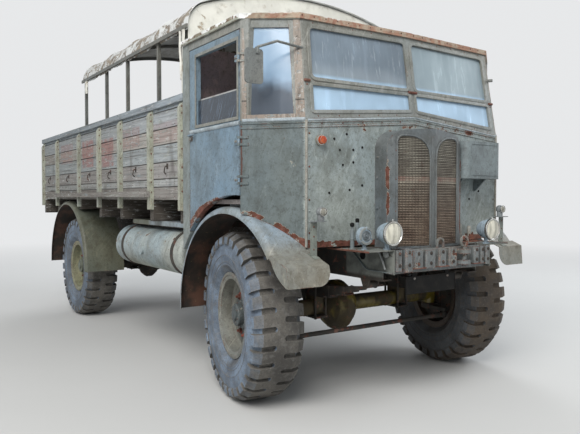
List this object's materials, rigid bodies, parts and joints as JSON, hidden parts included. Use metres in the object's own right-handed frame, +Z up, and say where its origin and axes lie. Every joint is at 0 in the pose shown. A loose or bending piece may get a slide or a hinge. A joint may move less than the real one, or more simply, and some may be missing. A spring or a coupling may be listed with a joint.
{
  "type": "military cargo truck",
  "caption": "Forward-control military cargo truck with a flat-fronted cab, plank-sided load body, half-length canvas tilt and bar-tread tyres.",
  "frame": {"origin": "centre of the bounding box on the ground plane", "axes": "+X to the truck's front, +Y to its left, +Z up"},
  "size_m": [6.2019, 2.55, 3.0783],
  "materials": {
    "cab_paint": "weathered matt grey-green",
    "guard_paint": "weathered matt olive grey",
    "chassis_iron": "rusty dark chassis paint",
    "oily_iron": "oily casting",
    "nose_paint": "worn blue-grey paint with rust",
    "tyre": "dusty rubber",
    "rim_paint": "dusty paint",
    "steel": "dull steel",
    "glass": "dusty clear glass",
    "orange_glass": "orange lens",
    "wood": "bare weathered planks",
    "stake_paint": "faded paint",
    "canvas": "faded peeling canvas",
    "hoop_paint": "faded paint",
    "seat_cover": "worn hide cloth",
    "grille_rust": "brown rusted paint",
    "plate_black": "matt black",
    "mirror": "mirror",
    "interior": "dull paint"
  },
  "bodies": {
    "truck": {"frame": "chassis_iron", "springs": "chassis_iron", "front_axle": "oily_iron", "rear_axle": "oily_iron", "engine": "oily_iron", "propshafts": "chassis_iron", "mudguards": "guard_paint", "bumper": "nose_paint", "number_plate": "plate_black", "cab_floor": "interior", "cab_front": "cab_paint", "cab_rear": "cab_paint", "cab_frame": "cab_paint", "cab_glass": "glass", "cab_roof": "cab_paint", "cowl": "nose_paint", "grille": "grille_rust", "lamp_bodies": "nose_paint", "lamp_lenses": "glass", "front_box": "nose_paint", "mirror_arm": "interior", "mirror_glass": "mirror", "seats": "interior", "seat_cushions": "seat_cover", "controls": "interior", "body_bearers": "wood", "load_deck": "wood", "body_boards": "wood", "body_stakes": "stake_paint", "tilt_hoops": "hoop_paint", "tilt_canvas": "canvas", "tilt_front": "canvas", "fuel_tank": "guard_paint", "lockers": "guard_paint"},
    "knuckle_left": {"knuckle_left": "oily_iron"},
    "knuckle_right": {"knuckle_right": "oily_iron"},
    "wheel_front_left": {"tyre_front_left": "tyre", "rim_front_left": "rim_paint"},
    "wheel_front_right": {"tyre_front_right": "tyre", "rim_front_right": "rim_paint"},
    "wheel_rear_left": {"tyre_rear_left": "tyre", "rim_rear_left": "rim_paint"},
    "wheel_rear_right": {"tyre_rear_right": "tyre", "rim_rear_right": "rim_paint"},
    "track_rod": {"track_rod": "steel"},
    "door_left": {"door_left": "cab_paint", "door_glass_left": "glass"},
    "door_right": {"door_right": "cab_paint", "door_glass_right": "glass"},
    "tailboard": {"tailboard": "wood"}
  },
  "joints": [
    {"name": "steer_left", "type": "hinge", "parent": "truck", "child": "knuckle_left", "pos_m": [2.14, 0.8, 0.575], "axis": [0, 0, 1], "range_deg": [-18, 38]},
    {"name": "steer_right", "type": "hinge", "parent": "truck", "child": "knuckle_right", "pos_m": [2.14, -0.8, 0.575], "axis": [0, 0, 1], "range_deg": [-18, 38]},
    {"name": "track_rod_turn", "type": "hinge", "parent": "knuckle_left", "child": "track_rod", "pos_m": [2.33696, 0.76527, 0.423], "axis": [0, 0, 1], "range_deg": [-38, 18]},
    {"name": "wheel_front_left_spin", "type": "hinge", "parent": "knuckle_left", "child": "wheel_front_left", "pos_m": [2.16952, 0.96742, 0.575], "axis": [0.1736, 0.9848, 0], "continuous": true},
    {"name": "wheel_front_right_spin", "type": "hinge", "parent": "knuckle_right", "child": "wheel_front_right", "pos_m": [2.11048, -0.96742, 0.575], "axis": [0.1736, 0.9848, 0], "continuous": true},
    {"name": "wheel_rear_left_spin", "type": "hinge", "parent": "truck", "child": "wheel_rear_left", "pos_m": [-1.708, 0.97, 0.575], "axis": [0, 1, 0], "continuous": true},
    {"name": "wheel_rear_right_spin", "type": "hinge", "parent": "truck", "child": "wheel_rear_right", "pos_m": [-1.708, -0.97, 0.575], "axis": [0, 1, 0], "continuous": true},
    {"name": "door_left_swing", "type": "hinge", "parent": "truck", "child": "door_left", "pos_m": [2.398, 1.21, 1.75], "axis": [0, 0, -1], "range_deg": [0, 75]},
    {"name": "door_right_swing", "type": "hinge", "parent": "truck", "child": "door_right", "pos_m": [2.398, -1.21, 1.75], "axis": [0, 0, 1], "range_deg": [0, 75]},
    {"name": "tailboard_drop", "type": "hinge", "parent": "truck", "child": "tailboard", "pos_m": [-3.034, 0, 1.408], "axis": [0, -1, 0], "range_deg": [0, 90]}
  ],
  "couplings": [
    {"joint": "steer_right", "follows": "steer_left", "ratio": 1},
    {"joint": "track_rod_turn", "follows": "steer_left", "ratio": -1}
  ]
}
